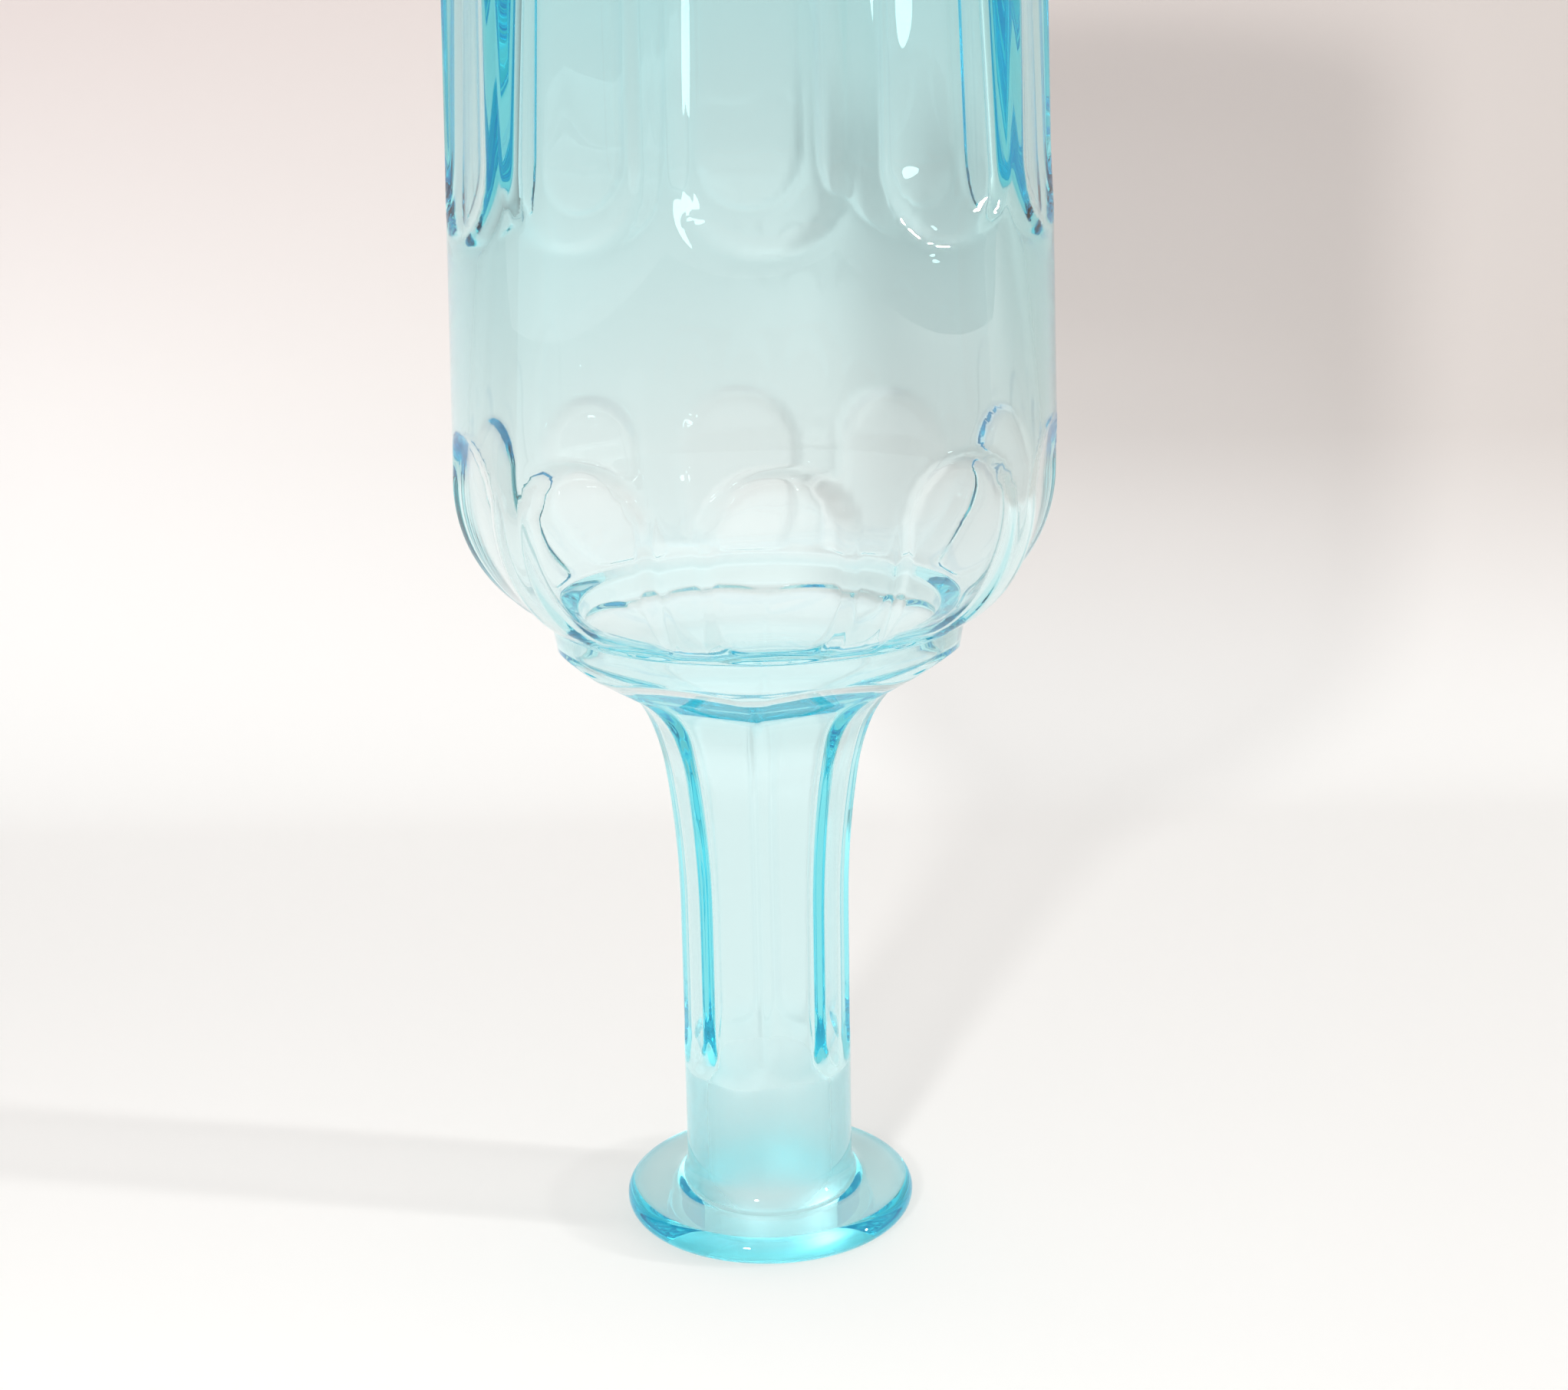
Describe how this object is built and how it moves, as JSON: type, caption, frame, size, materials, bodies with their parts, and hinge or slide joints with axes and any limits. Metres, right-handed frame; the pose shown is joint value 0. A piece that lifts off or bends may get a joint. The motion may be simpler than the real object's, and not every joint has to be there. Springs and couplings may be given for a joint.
{
  "type": "glass carafe",
  "caption": "Pale blue moulded glass carafe with a flat lip, faceted neck, collar ring and arched panels, standing upside down on its lip.",
  "frame": {"origin": "on the carafe's axis, at the rim of its mouth, which stands on the surface", "axes": "+Z along the carafe's axis from the mouth up to the base, which is upside down for normal use, as the picture shows it; -Y faces the picture's camera"},
  "size_m": [0.0982, 0.0976, 0.24],
  "materials": {
    "blue_glass": "clear, fire-polished"
  },
  "bodies": {
    "root": {"carafe": "blue_glass"}
  },
  "joints": []
}
